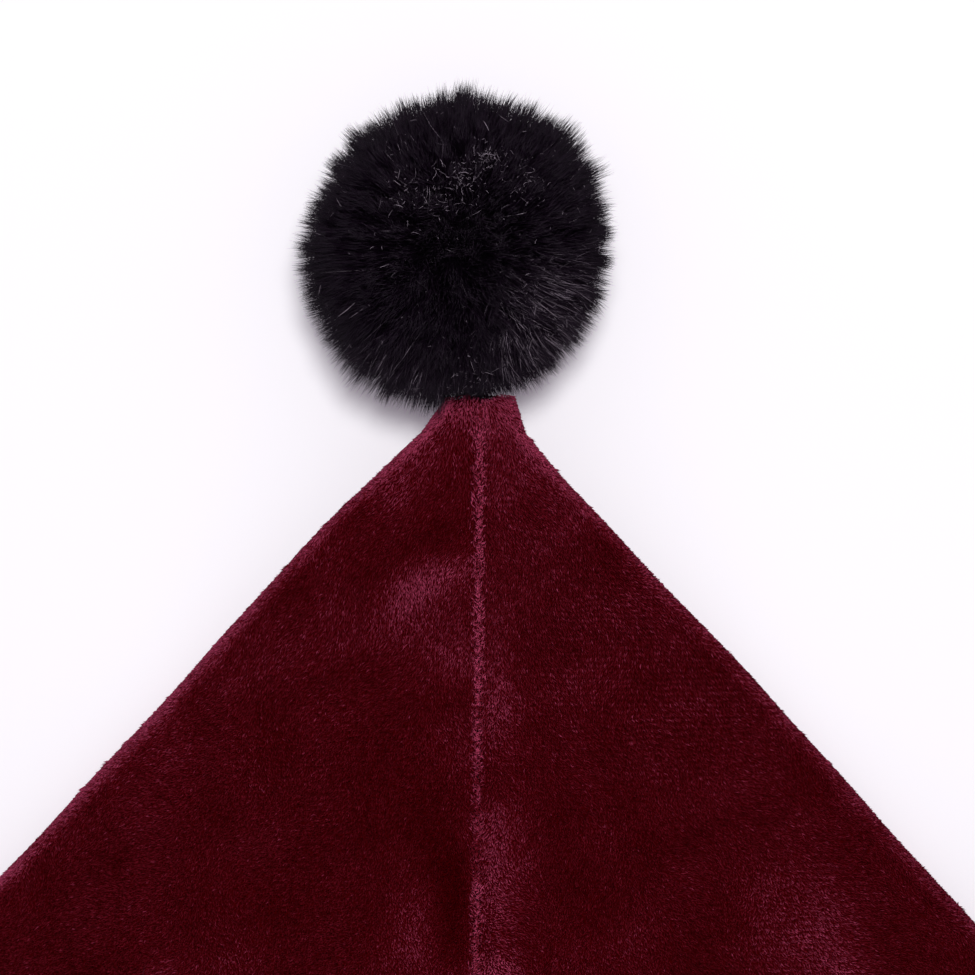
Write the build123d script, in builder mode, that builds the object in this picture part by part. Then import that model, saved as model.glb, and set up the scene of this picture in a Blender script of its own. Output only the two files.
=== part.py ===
from build123d import *
from math import asin, cos, degrees, radians, sin, tan
import os

os.makedirs("parts", exist_ok=True)

# A plush conical party hat that lies on its back: the tip points along +Y, the head opening faces -Y,
# and +Z is up. The origin is on the table, under the middle of the whole hat. Millimetres and degrees.

# Crown outline, measured as distances from the blunt tip towards the head opening
tip_half_width = 9.2
tip_round = 2.0
shoulder_distance = 8.5
shoulder_half_width = 12.5
side_angle = 43.1
crown_length = 156.0  # tip to the upper edge of the cuff
hidden_length = 58.0  # crown under the cuff

# Crown heights: the back is on the table between the two distances and rises to the tip and the cuff
touchdown_distance = 75.0
liftoff_distance = 130.0
neck_height = 30.0
tip_fold = 4.3
cuff_fold = 9.0
tip_hump = 9.2
touchdown_hump = 14.0
cuff_hump = 34.0
mouth_hump = 38.0
seam_dip = 0.07  # how far the front seam sinks below the two humps, as a share of their height

# Cloths
velvet = 2.0
allowance_width = 7.0
allowance_thickness = 1.2
allowance_distance = 20.0
lining = 0.8
lining_distance = 40.0
lining_short = 1.0
cloth_gap = 0.3
seam_gap = 0.8
thread = 0.5
stitch = 0.6
stitch_gap = 0.05
thread_depth = 1.0

# Cuff: a fur band round the crown's lower edge, turned inwards at the mouth
pile_above = 11.0
pile_beside = 9.0
pile_below = 5.0
pile_taper = 6.0
pile_end_share = 0.55
cuff_overlap = 2.0
cuff_lip = 5.7
hem_pile = 2.5
hem_width = 15.0

# Pompom and its tie
pompom_radius = 34.5
pompom_yaw = 10.2
stuffing_radius = 20.0
cord_radius = 0.9
cord_pivot = 1.2
neck_length = 5.5
neck_knot_radius = 1.5
anchor_knot_radius = 1.7
anchor_knot_distance = 4.4
gather_radius = 2.35
gather_thread = 0.45
tie_radius = 0.8

# Care label, blank, sewn in beside the cuff's inner edge
label_width = 22.0
label_length = 36.0
label_thickness = 0.5
label_side = 25.0

# Worked-out sizes
crown_end = crown_length + hidden_length
mouth_distance = crown_end + cloth_gap + cuff_lip
cuff_half_width = shoulder_half_width + (crown_length - shoulder_distance) * tan(radians(side_angle))
pompom_pitch = degrees(asin((pompom_radius - neck_height) / pompom_radius))
pompom_axis = Vector(
    -sin(radians(pompom_yaw)) * cos(radians(pompom_pitch)),
    cos(radians(pompom_yaw)) * cos(radians(pompom_pitch)),
    sin(radians(pompom_pitch)),
)
pompom_reach = neck_length + pompom_radius * (pompom_axis.Y + 1)
tip_y = (mouth_distance - pompom_reach) / 2
lining_inset = velvet + allowance_thickness + cloth_gap
lining_face = lining_inset + lining
hem_inset = lining_face + cloth_gap
hem_distance = crown_end - hem_width
past_end = 3.0
tall = 3 * pompom_radius

bends = [tip_round, shoulder_distance, touchdown_distance, liftoff_distance, crown_length, crown_end]


def between(distance, *marks):
    """Value on straight lines between marks of (distance, value); it stays level past the last mark."""
    for (start, first), (end, last) in zip(marks, marks[1:]):
        if distance <= end:
            return first + (last - first) * (distance - start) / (end - start)
    return marks[-1][1]


def half_width(distance):
    return between(
        distance,
        (0, tip_half_width - tip_round),
        (tip_round, tip_half_width),
        (shoulder_distance, shoulder_half_width),
        (crown_length, cuff_half_width),
        (crown_end, cuff_half_width),
    )


def back_height(distance):
    return between(
        distance,
        (0, neck_height - tip_fold),
        (touchdown_distance, 0),
        (liftoff_distance, 0),
        (crown_length, pile_below),
        (crown_end, pile_below),
    )


def fold_radius(distance):
    return between(distance, (0, tip_fold), (crown_length, cuff_fold), (crown_end, cuff_fold))


def hump_height(distance):
    height = between(
        distance,
        (0, tip_hump),
        (touchdown_distance, touchdown_hump),
        (crown_length, cuff_hump),
        (crown_end, mouth_hump),
    )
    return back_height(distance) + height


def seam_height(distance):
    return hump_height(distance) - seam_dip * (hump_height(distance) - back_height(distance))


def stations(start, end):
    """Distances of the sections that a piece from start to end needs."""
    return [start] + [bend for bend in bends if start < bend < end] + [end]


def hat_tube(shares, above, beside, below):
    """Solid of the flattened hat's shape, whose skin lies above, beside and below millimetres outside
    the crown's own face at each (distance, share) of shares; negative sizes lie inside it."""
    with BuildPart() as tube:
        for distance, share in shares:
            half, fold, back = half_width(distance), fold_radius(distance), back_height(distance)
            flat = half - fold
            low = (flat, back - below * share)
            side = (half + beside * share, back + fold)
            high = (flat, back + 2 * fold + above * share)
            hump = (flat / 2, hump_height(distance) + above * share)
            seam = (0, seam_height(distance) + above * share)
            with BuildSketch(Plane.XZ.offset(distance - tip_y)):
                with BuildLine():
                    Line((-low[0], low[1]), low)
                    ThreePointArc(low, side, high)
                    ThreePointArc(high, hump, seam)
                    ThreePointArc(seam, (-hump[0], hump[1]), (-high[0], high[1]))
                    ThreePointArc((-high[0], high[1]), (-side[0], side[1]), (-low[0], low[1]))
                make_face()
        loft(ruled=True)
    return tube.part


def inner_tube(start, end, inset):
    """Solid of the crown's shape, inset everywhere from its outer face."""
    return hat_tube([(distance, 1) for distance in stations(start, end)], -inset, -inset, -inset)


def slab(start, end, width, side=0):
    """Tall block across the hat between two distances from the tip."""
    with BuildPart(Plane.XY.offset(-tall / 2)) as block:
        with BuildSketch():
            with Locations((side, tip_y - (start + end) / 2)):
                Rectangle(width, end - start)
        extrude(amount=2 * tall)
    return block.part


def seam_ribbon(start, end, height, thickness):
    """Thread that lies in a seam's gap from start to end, with its top face at height(distance)."""
    upper = [(tip_y - distance, height(distance)) for distance in stations(start, end)]
    lower = [(y, z - thickness) for y, z in reversed(upper)]
    with BuildPart() as ribbon:
        with BuildSketch(Plane.YZ):
            with BuildLine():
                Polyline(*upper, *lower, close=True)
            make_face()
        extrude(amount=thread / 2, both=True)
    return ribbon.part


def save(piece, name):
    piece.part.label = name
    export_step(piece.part, f"parts/{name}.step")


# Velvet crown: two panels, each wrapped from the front seam round the side fold to the back seam
crown_solid = inner_tube(0, crown_end, 0)
velvet_inside = inner_tube(velvet, crown_end + past_end, velvet)
allowance_inside = inner_tube(allowance_distance, crown_end + past_end, velvet + allowance_thickness)
allowance_strip = slab(allowance_distance, crown_end + past_end, 2 * allowance_width)

with BuildPart() as crown_hollow:
    add(velvet_inside)
    add(allowance_strip, mode=Mode.SUBTRACT)
    add(allowance_inside)

neck_plane = Plane(origin=(0, tip_y, neck_height), x_dir=(1, 0, 0), z_dir=(0, 1, 0))

with BuildPart() as crown_shell:
    add(crown_solid)
    add(crown_hollow.part, mode=Mode.SUBTRACT)
    with BuildSketch(neck_plane):
        Circle(cord_radius + cloth_gap)
    extrude(amount=-velvet - tip_round, mode=Mode.SUBTRACT)

with BuildPart() as left_crown_panel:
    add(crown_shell.part)
    split(bisect_by=Plane.YZ.offset(-seam_gap / 2), keep=Keep.BOTTOM)

with BuildPart() as right_crown_panel:
    add(crown_shell.part)
    split(bisect_by=Plane.YZ.offset(seam_gap / 2), keep=Keep.TOP)

# Lining: a bag of the same shape, which hangs inside the crown
with BuildPart() as lining_shell:
    add(inner_tube(lining_distance, crown_end - lining_short, lining_inset))
    add(inner_tube(lining_distance + lining, crown_end + past_end, lining_face), mode=Mode.SUBTRACT)

with BuildPart() as left_lining_panel:
    add(lining_shell.part)
    split(bisect_by=Plane.YZ.offset(-seam_gap / 2), keep=Keep.BOTTOM)

with BuildPart() as right_lining_panel:
    add(lining_shell.part)
    split(bisect_by=Plane.YZ.offset(seam_gap / 2), keep=Keep.TOP)

# Seam threads lie in the gaps between the panels
with BuildPart() as front_seam_thread:
    add(seam_ribbon(shoulder_distance, crown_end, lambda d: seam_height(d) - thread_depth, stitch))

with BuildPart() as back_seam_thread:
    add(seam_ribbon(shoulder_distance, crown_end, lambda d: back_height(d) + thread_depth + stitch, stitch))

lining_start = lining_distance + lining
lining_end = crown_end - lining_short

with BuildPart() as lining_front_seam_thread:
    add(seam_ribbon(lining_start, lining_end, lambda d: seam_height(d) - lining_inset - cloth_gap / 2, thread))

with BuildPart() as lining_back_seam_thread:
    add(seam_ribbon(lining_start, lining_end, lambda d: back_height(d) + lining_face - cloth_gap / 2, thread))

# Fur cuff: one strip, joined at the back, turned inwards round the mouth
cuff_start = crown_length - cuff_overlap
cuff_shares = [
    (cuff_start, pile_end_share),
    (cuff_start + pile_taper, 1),
    (crown_end, 1),
    (mouth_distance, pile_end_share),
]
cuff_solid = hat_tube(cuff_shares, pile_above, pile_beside, pile_below)
crown_room = inner_tube(cuff_start - past_end, crown_end + cloth_gap, -cloth_gap)
hem_solid = inner_tube(hem_distance, crown_end + past_end, hem_inset)
mouth_passage = inner_tube(hem_distance - past_end, mouth_distance + past_end, hem_inset + hem_pile)

with BuildPart() as fur_cuff:
    add(cuff_solid)
    add(crown_room, mode=Mode.SUBTRACT)
    add(hem_solid)
    add(mouth_passage, mode=Mode.SUBTRACT)
    with BuildSketch(Plane.XY.offset(-past_end)):
        with Locations((0, tip_y - (cuff_start + mouth_distance) / 2)):
            Rectangle(seam_gap, mouth_distance - cuff_start + 2 * past_end)
    extrude(amount=past_end + pile_below + hem_inset + hem_pile + cloth_gap, mode=Mode.SUBTRACT)

with BuildPart() as cuff_back_seam_thread:
    with BuildSketch(Plane.YZ):
        with Locations((tip_y - (cuff_start + pile_taper + crown_end) / 2, pile_below / 2)):
            Rectangle(crown_end - cuff_start - pile_taper, stitch)
    extrude(amount=thread / 2, both=True)


def stitch_ring(distance, inset):
    """Ring of stitches that stands one stitch proud of a face, which is inset from the crown's."""
    with BuildPart() as ring:
        add(inner_tube(distance, distance + stitch, inset))
        add(inner_tube(distance - past_end, distance + past_end, inset + stitch), mode=Mode.SUBTRACT)
    return ring.part


with BuildPart() as cuff_top_stitching:
    add(stitch_ring(cuff_start - cloth_gap - stitch, -stitch - stitch_gap))

hem_stitch_distance = hem_distance - cloth_gap - stitch

with BuildPart() as cuff_hem_stitching:
    add(stitch_ring(hem_stitch_distance, lining_face + stitch_gap))

with BuildPart() as tip_gather_thread:
    add(stitch_ring(velvet + cloth_gap, velvet + stitch_gap))

# Care label: it lies on the lining and lifts about its sewn edge
with BuildPart() as care_label:
    with BuildSketch(Plane.XY.offset(pile_below + lining_face + cloth_gap)):
        with Locations((label_side, tip_y - hem_stitch_distance + cloth_gap + label_length / 2)):
            Rectangle(label_width, label_length)
    extrude(amount=label_thickness)

# Tie: knotted inside the tip, a short free cord, and a knot in the pompom's gathered neck
anchor_back = back_height(anchor_knot_distance)
anchor_front = seam_height(anchor_knot_distance)

with BuildPart() as anchor_knot:
    with Locations((0, tip_y - anchor_knot_distance, (anchor_back + anchor_front) / 2)):
        Sphere(anchor_knot_radius)
    with BuildSketch(neck_plane):
        Circle(cord_radius)
    extrude(amount=anchor_knot_radius / 2 - anchor_knot_distance)

with BuildPart() as pompom_cord:
    with Locations((0, tip_y + cord_pivot, neck_height)):
        Sphere(cord_radius)
    with BuildSketch(neck_plane.offset(cord_pivot)):
        Circle(cord_radius)
    extrude(amount=neck_length - neck_knot_radius - cloth_gap - cord_pivot)

neck_point = Vector(0, tip_y + neck_length, neck_height)
pompom_centre = neck_point + pompom_axis * pompom_radius

with BuildPart() as neck_knot:
    with Locations(neck_point):
        Sphere(neck_knot_radius)

# Pompom: a gathered fur ball round its stuffing
gather_plane = Plane(origin=neck_point, z_dir=pompom_axis)
skin_distance = pompom_radius - stuffing_radius - cloth_gap
gather_depth = neck_knot_radius + cloth_gap + gather_thread

with BuildPart() as pompom_fur_cover:
    with Locations(pompom_centre):
        Sphere(pompom_radius)
        Sphere(stuffing_radius + cloth_gap, mode=Mode.SUBTRACT)
    with BuildSketch(gather_plane.offset(gather_depth + stitch_gap)):
        Circle(gather_radius + gather_thread + stitch_gap)
    extrude(amount=-2 * gather_depth, mode=Mode.SUBTRACT)
    with BuildSketch(gather_plane):
        Circle(tie_radius + stitch_gap)
    extrude(amount=skin_distance + past_end, mode=Mode.SUBTRACT)

with BuildPart() as pompom_gather_thread:
    with BuildSketch(gather_plane):
        Circle(gather_radius + gather_thread)
    extrude(amount=gather_depth)
    with BuildSketch(gather_plane):
        Circle(gather_radius - gather_thread)
    extrude(amount=neck_knot_radius + cloth_gap, mode=Mode.SUBTRACT)
    with BuildSketch(gather_plane.offset(gather_depth)):
        Circle(tie_radius)
    extrude(amount=skin_distance - gather_depth)

with BuildPart() as pompom_stuffing:
    with Locations(pompom_centre):
        Sphere(stuffing_radius)

pieces = {
    "left_crown_panel": left_crown_panel,
    "right_crown_panel": right_crown_panel,
    "left_lining_panel": left_lining_panel,
    "right_lining_panel": right_lining_panel,
    "front_seam_thread": front_seam_thread,
    "back_seam_thread": back_seam_thread,
    "lining_front_seam_thread": lining_front_seam_thread,
    "lining_back_seam_thread": lining_back_seam_thread,
    "fur_cuff": fur_cuff,
    "cuff_back_seam_thread": cuff_back_seam_thread,
    "cuff_top_stitching": cuff_top_stitching,
    "cuff_hem_stitching": cuff_hem_stitching,
    "tip_gather_thread": tip_gather_thread,
    "care_label": care_label,
    "anchor_knot": anchor_knot,
    "pompom_cord": pompom_cord,
    "neck_knot": neck_knot,
    "pompom_fur_cover": pompom_fur_cover,
    "pompom_gather_thread": pompom_gather_thread,
    "pompom_stuffing": pompom_stuffing,
}

for name, piece in pieces.items():
    save(piece, name)
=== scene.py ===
"""Plush, fur, lining and stage of a party hat that lies on its back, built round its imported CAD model."""

import math

import bpy
import numpy as np
from bpy.props import FloatProperty, FloatVectorProperty, IntProperty, PointerProperty
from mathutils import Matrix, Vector


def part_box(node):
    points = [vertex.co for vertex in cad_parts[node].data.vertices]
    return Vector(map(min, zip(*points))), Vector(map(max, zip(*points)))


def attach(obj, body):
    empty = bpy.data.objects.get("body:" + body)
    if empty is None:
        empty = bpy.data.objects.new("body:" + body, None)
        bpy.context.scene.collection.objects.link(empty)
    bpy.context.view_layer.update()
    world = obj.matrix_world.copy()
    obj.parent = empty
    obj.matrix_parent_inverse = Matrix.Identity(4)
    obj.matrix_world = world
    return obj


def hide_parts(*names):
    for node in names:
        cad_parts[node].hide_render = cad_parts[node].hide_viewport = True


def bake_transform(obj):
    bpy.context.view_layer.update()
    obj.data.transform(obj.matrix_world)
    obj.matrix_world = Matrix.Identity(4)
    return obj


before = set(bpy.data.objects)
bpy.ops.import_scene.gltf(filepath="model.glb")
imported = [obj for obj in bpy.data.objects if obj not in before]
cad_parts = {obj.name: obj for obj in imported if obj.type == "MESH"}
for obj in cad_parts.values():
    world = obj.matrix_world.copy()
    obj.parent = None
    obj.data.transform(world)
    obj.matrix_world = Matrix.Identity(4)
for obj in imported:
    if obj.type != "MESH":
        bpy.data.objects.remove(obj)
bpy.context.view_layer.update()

bl_info = {
    "name": "Plush party hat",
    "version": (1, 0, 0),
    "blender": (4, 5, 0),
    "location": "3D View > Sidebar > Party hat",
    "description": "Makes the plush, fur, lining and stage of a party hat round its CAD model",
    "category": "Object",
}

MM = 0.001
BAKE_MAP = "OFBake"  # strands take their colours from this map: shade across, root to tip upwards
MOST_TRIANGLES = 190_000  # in one piece


def box(node):
    """A CAD node's lowest and highest corner at rest."""
    return tuple(np.array(corner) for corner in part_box(node))


crown_low, crown_high = box("right_crown_panel")
ball_low, ball_high = box("pompom_fur_cover")
neck_low, neck_high = box("neck_knot")
label_low, label_high = box("care_label")
hem_low, hem_high = box("cuff_hem_stitching")

# Distances run from the crown's tip towards its opening.
TIP_Y = crown_high[1]
CROWN_END = crown_high[1] - crown_low[1]
CUFF_START = TIP_Y - box("fur_cuff")[1][1]
NECK = (neck_low + neck_high) / 2
BALL_RADIUS = (ball_high[2] - ball_low[2]) / 2
BALL_CENTRE = np.array([(ball_low[0] + ball_high[0]) / 2, ball_high[1] - BALL_RADIUS, BALL_RADIUS])
FLOOR_GAP = 0.15 * MM  # between the floor and the lowest pile


# ---------------------------------------------------------------- settings


def length(name, description, millimetres):
    return FloatProperty(name=name, description=description, default=millimetres * MM, unit="LENGTH")


def slant(name, description, degrees):
    return FloatProperty(name=name, description=description, default=math.radians(degrees), subtype="ANGLE")


def colour(name, description, value):
    return FloatVectorProperty(name=name, description=description, default=value, subtype="COLOR", size=3)


class CrownSettings(bpy.types.PropertyGroup):
    tip_half_width: length("Tip half width", "Half the width of the blunt tip", 8.4)
    shoulder_distance: length("Shoulder distance", "From the tip to where the sides begin to open", 8.5)
    shoulder_half_width: length("Shoulder half width", "Half the width there", 12.5)
    cuff_distance: length("Cuff distance", "From the tip to where the crown becomes straight", 156)
    touchdown: length("Touchdown", "From the tip to where the back meets the table", 75)
    liftoff: length("Lift-off", "From the tip to where the back leaves the table for the cuff", 130)
    tip_fold: length("Tip fold", "Radius of the side fold at the tip", 4.3)
    cuff_fold: length("Cuff fold", "Radius of the side fold at the cuff", 9)
    under_cuff: length("Under the cuff", "Height of the back over the pressed fur", 5)
    bulge: length("Bulge", "How far the sides swell out halfway down", 1.2)
    crease_depth: length("Crease depth", "Depth of the crease along the front seam", 1.5)
    crease_width: length("Crease width", "Reach of the crease to each side", 3.2)
    pile_length: length("Pile length", "Length of the plush's pile", 1.25)
    pile_spacing: length("Pile spacing", "Distance between two rows of pile", 0.43)
    cloth: length("Cloth thickness", "Thickness of the plush without its pile", 1.2)
    # The pile's colours run from painted shade, seen end on, to painted sheen, seen from its side.
    dark: colour("Pile in shade", "Colour of the pile seen end on", (0.048, 0.0002, 0.0010))
    middle: colour("Pile", "Colour of the pile between shade and light", (0.180, 0.0080, 0.0180))
    light: colour("Pile in light", "Colour of the pile seen from its side", (0.61, 0.080, 0.182))
    seed: IntProperty(name="Seed", description="Seed of the pile's scatter", default=7)


class FurSettings(bpy.types.PropertyGroup):
    pompom_hairs: IntProperty(name="Pompom hairs", description="Hairs on the pompom", default=60000)
    pompom_reach: length("Pompom reach", "From the pompom's middle to the hair tips", 42.3)
    skin_radius: length("Skin radius", "Radius of the pompom under its hairs", 27)
    hair_radius: length("Hair radius", "Radius of a hair at its root", 0.1)
    pompom_right: length("Pompom right", "Fur ball's middle to the right of its solid's", 0.0)
    pompom_down: length("Pompom down", "Fur ball's middle nearer to the tip than its solid's", 1.7)
    cuff_hairs: IntProperty(name="Cuff hairs", description="Hairs on the cuff", default=104000)
    cuff_hair: length("Cuff hair", "Length of the cuff's hairs", 13)
    cuff_hem_hair: length("Hem hair", "Length of the hairs inside the mouth", 3.6)
    dark: colour("Dark hair", "Colour of the darkest hairs", (0.0052, 0.0018, 0.0064))
    middle: colour("Hair", "Colour of the lighter hairs", (0.021, 0.0110, 0.023))
    # The lightest hair colour is a painted glint.
    light: colour("Glinting hair", "Colour of the few hairs that glint", (0.60, 0.49, 0.60))
    seed: IntProperty(name="Seed", description="Seed of the hairs' scatter", default=11)


class InsideSettings(bpy.types.PropertyGroup):
    lining_inset: length("Lining inset", "From the crown's face to the lining", 3.5)
    lining_cloth: length("Lining thickness", "Thickness of the lining", 0.5)
    lining_distance: length("Lining distance", "From the hat's tip to the lining's", 41)
    stitch_length: length("Stitch length", "Length of one stitch", 2.4)
    thread_radius: length("Thread radius", "Radius of the sewing thread", 0.22)
    satin: colour("Satin", "Colour of the lining", (0.012, 0.010, 0.013))
    thread: colour("Thread", "Colour of the crown's thread", (0.12, 0.012, 0.024))
    black_thread: colour("Black thread", "Colour of the cuff's thread and the tie", (0.008, 0.008, 0.009))
    label: colour("Label", "Colour of the blank label", (0.62, 0.6, 0.57))


class StageSettings(bpy.types.PropertyGroup):
    floor: colour("Floor", "Colour of the floor and backdrop", (0.92, 0.91, 0.93))
    glow: colour("Floor glow", "Light that only the camera sees on the floor", (0.11, 0.085, 0.115))
    far_glow: colour("Far glow", "The same light far from the hat, where the lamp is weaker", (0.62, 0.60, 0.63))
    camera_height: length("Camera height", "Camera above the floor", 1200)
    camera_x: length("Camera right", "Camera to the right of the hat's seam at the tip", 2.07)
    camera_below: length("Camera below", "Camera from the tip towards the opening", 23.2)
    view_width: length("View width", "Width of the floor that the camera sees", 255.2)
    roll: slant("Roll", "Turn of the camera", 0.4)
    lamp_size: length("Lamp size", "Width of the soft lamp", 270)
    lamp_elevation: slant("Lamp height", "Angle of the lamp above the floor", 81.5)
    lamp_turn: slant("Lamp side", "Turn of the lamp to the right of the pompom", 10)
    lamp_distance: length("Lamp distance", "From the hat's tip to the lamp", 1300)
    key: FloatProperty(name="Key light", description="Strength of the soft lamp", default=11.8)
    sky: FloatProperty(name="Sky", description="Strength of the even light", default=0.34)


# ---------------------------------------------------------------- numbers and meshes


def unit(vectors):
    return vectors / np.maximum(np.linalg.norm(vectors, axis=-1, keepdims=True), 1e-12)


def rounded_line(distance, marks, reach=12 * MM):
    """Value on straight lines between marks of (distance, value), with the corners rounded off."""
    places, values = zip(*marks)
    steps = np.linspace(-reach, reach, 9)
    return np.mean([np.interp(distance + step, places, values) for step in steps], axis=0)


def waves(across, along, size, seed, count=7):
    """Smooth unevenness between about -1 and 1 over a surface, with waves of about this size."""
    draw = np.random.default_rng(seed)
    total = 0
    for _ in range(count):
        angle, phase = draw.uniform(0, 2 * math.pi, 2)
        wave = 2 * math.pi / (size * draw.uniform(0.7, 1.6))
        total = total + np.sin(wave * (across * math.cos(angle) + along * math.sin(angle)) + phase)
    return total / math.sqrt(count)


def mesh_object(name, points, faces, material, corner_uv=None):
    """An object from arrays of points and of faces with equally many corners."""
    mesh = bpy.data.meshes.new(name)
    corners = faces.shape[1]
    mesh.vertices.add(len(points))
    mesh.vertices.foreach_set("co", np.ascontiguousarray(points, np.float32).ravel())
    mesh.loops.add(faces.size)
    mesh.loops.foreach_set("vertex_index", np.ascontiguousarray(faces, np.int32).ravel())
    mesh.polygons.add(len(faces))
    mesh.polygons.foreach_set("loop_start", np.arange(0, faces.size, corners, dtype=np.int32))
    mesh.polygons.foreach_set("use_smooth", np.ones(len(faces), bool))
    if corner_uv is not None:
        layer = mesh.uv_layers.new(name=BAKE_MAP)
        layer.uv.foreach_set("vector", np.ascontiguousarray(corner_uv, np.float32).ravel())
    mesh.update(calc_edges=True)
    mesh.materials.append(material)
    piece = bpy.data.objects.new(name, mesh)
    bpy.context.scene.collection.objects.link(piece)
    return piece


def grid_faces(rows, columns, close_rows=False, close_columns=False):
    """Quads of a grid of points, which may be closed in either direction."""
    row = np.arange(rows if close_rows else rows - 1)[:, None]
    column = np.arange(columns if close_columns else columns - 1)[None, :]
    below, beside = (row + 1) % rows, (column + 1) % columns
    corners = [row * columns + column, row * columns + beside, below * columns + beside, below * columns + column]
    return np.stack(np.broadcast_arrays(*corners), -1).reshape(-1, 4)


def cloth_object(name, face, lining_face, material, flip=False):
    """A closed sheet between two grids of points of the same shape."""
    rows, columns = face.shape[:2]
    outer = grid_faces(rows, columns)
    inner = outer[:, ::-1] + rows * columns
    grid = np.arange(rows * columns).reshape(rows, columns)
    rim = np.concatenate([grid[0, :-1], grid[:-1, -1], grid[-1, :0:-1], grid[:0:-1, 0]])
    following = np.roll(rim, -1)
    edge = np.stack([following, rim, rim + rows * columns, following + rows * columns], -1)
    faces = np.concatenate([outer, inner, edge])
    points = np.concatenate([face.reshape(-1, 3), lining_face.reshape(-1, 3)])
    return mesh_object(name, points, faces[:, ::-1] if flip else faces, material)


def capped_faces(rows, columns, flip=False):
    """Triangles of a closed tube of points, whose ends meet in the two points that follow them."""
    quads = grid_faces(rows, columns, close_columns=True)
    column, last = np.arange(columns), (rows - 1) * columns
    following, centre = (column + 1) % columns, np.full(columns, rows * columns)
    start = np.stack([following, column, centre], -1)
    end = np.stack([last + column, last + following, centre + 1], -1)
    quads, start, end = (part[:, ::-1] if flip else part for part in (quads, start, end))
    return np.concatenate([quads[:, [0, 1, 2]], quads[:, [0, 2, 3]], start, end])


def spokes_round(along, across, sides):
    """Directions of this many spokes round each line, from one that stands across it."""
    turn = np.arange(sides) * 2 * math.pi / sides
    beyond = np.cross(along, across)
    return across[:, None] * np.cos(turn)[None, :, None] + beyond[:, None] * np.sin(turn)[None, :, None]


def dress(piece, body, stands_for=None):
    """Makes a piece move with a body and stand for a CAD node."""
    if body:
        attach(piece, body)
    if stands_for:
        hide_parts(stands_for)
    return piece


def strands(name, spine, radius, shade, material, body, slot):
    """Closed, three-sided, tapering strands, in as many pieces as their triangles need. spine holds each
    strand's points from root to tip, radius its thickness at all of them but the tip."""
    count, points = spine.shape[:2]
    rings = points - 1
    along = unit(spine[:, -1] - spine[:, 0])
    helper = np.where(np.abs(along[:, 2:]) < 0.9, [[0.0, 0.0, 1.0]], [[1.0, 0.0, 0.0]])
    spokes = spokes_round(along, unit(np.cross(along, helper)), 3)
    ring = spine[:, :rings, None] + radius[:, :, None, None] * spokes[:, None]
    verts = np.concatenate([ring.reshape(count, rings * 3, 3), spine[:, -1:]], axis=1)
    one = [(0, 2, 1)]
    for low in range(0, 3 * rings - 3, 3):
        for a, b in ((0, 1), (1, 2), (2, 0)):
            one += [(low + a, low + b, low + 3 + b), (low + a, low + 3 + b, low + 3 + a)]
    one += [(3 * rings - 3 + a, 3 * rings - 3 + b, 3 * rings) for a, b in ((0, 1), (1, 2), (2, 0))]
    one = np.array(one)
    height = np.append(np.repeat(np.arange(rings), 3), rings) / rings
    sideways = np.append(np.tile([-1.0, 0.0, 1.0], rings), 0.0)
    pieces = []
    share = math.ceil(count * len(one) / MOST_TRIANGLES)
    for number, chosen in enumerate(np.array_split(np.arange(count), share)):
        faces = (one[None] + (np.arange(len(chosen)) * verts.shape[1])[:, None, None]).reshape(-1, 3)
        u = np.clip(shade[chosen], 0.01, 0.99)[:, None] + 0.008 * sideways[None]
        uv = np.stack([u, np.broadcast_to(0.02 + 0.96 * height, u.shape)], -1).reshape(-1, 2)
        label = f"{name}_{number + 1}" if share > 1 else name
        piece = mesh_object(label, verts[chosen].reshape(-1, 3), faces, material, uv[faces.ravel()])
        pieces.append(dress(piece, body))
    return pieces


# ---------------------------------------------------------------- the crown's shape


def crown_settings():
    return bpy.context.scene.hat_crown


def half_width(distance):
    """Half the crown's width at this distance from the tip."""
    hat = crown_settings()
    opening = (crown_high[0] - hat.shoulder_half_width) / (hat.cuff_distance - hat.shoulder_distance)
    straight = hat.shoulder_half_width + opening * (distance - hat.shoulder_distance)
    neck = hat.tip_half_width + (hat.shoulder_half_width - hat.tip_half_width) * distance / hat.shoulder_distance
    wobble = 0.30 * MM * waves(distance, 0 * distance, 26 * MM, 3) * np.clip(distance / (20 * MM), 0, 1)
    swell = hat.bulge * np.sin(math.pi * np.clip(distance / (115 * MM), 0, 1)) + 1.05 * MM
    return np.minimum(np.maximum(straight, neck), crown_high[0]) + swell + wobble


def fold_radius(distance):
    """Radius of the crown's side folds."""
    hat = crown_settings()
    return np.interp(distance, (0, hat.cuff_distance), (hat.tip_fold, hat.cuff_fold))


def back_height(distance):
    """Height of the crown's back over the table: it hangs at the tip, lies down, and rises over the cuff."""
    hat = crown_settings()
    lift = NECK[2] - hat.tip_fold
    before = (-0.1, lift + 0.1 * lift / hat.touchdown)
    lying = [(0, lift), (hat.touchdown, 0), (hat.liftoff, 0)]
    return rounded_line(distance, [before, *lying, (hat.cuff_distance, hat.under_cuff), (CROWN_END, hat.under_cuff)])


def hump_rise(distance):
    """How high the crown's front stands over its back, along the middle."""
    hat = crown_settings()
    top = crown_high[2] - hat.under_cuff
    slim = [(-0.1, 9.0 * MM), (0, 9.2 * MM), (hat.touchdown, 14 * MM)]
    return rounded_line(distance, [*slim, (hat.cuff_distance, top - 4 * MM), (CROWN_END, top)])


def lean(distance):
    """How far the crown's two sides lie to the left of its seam."""
    marks = ((0, 0), (8.5, 1.6), (19, 2.7), (30, 3.1), (44, 3.1), (60, 2.4), (72, 1.8), (150, 2.0), (214, 0))
    return rounded_line(distance, [(down * MM, left * MM) for down, left in marks], 3 * MM)


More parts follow.
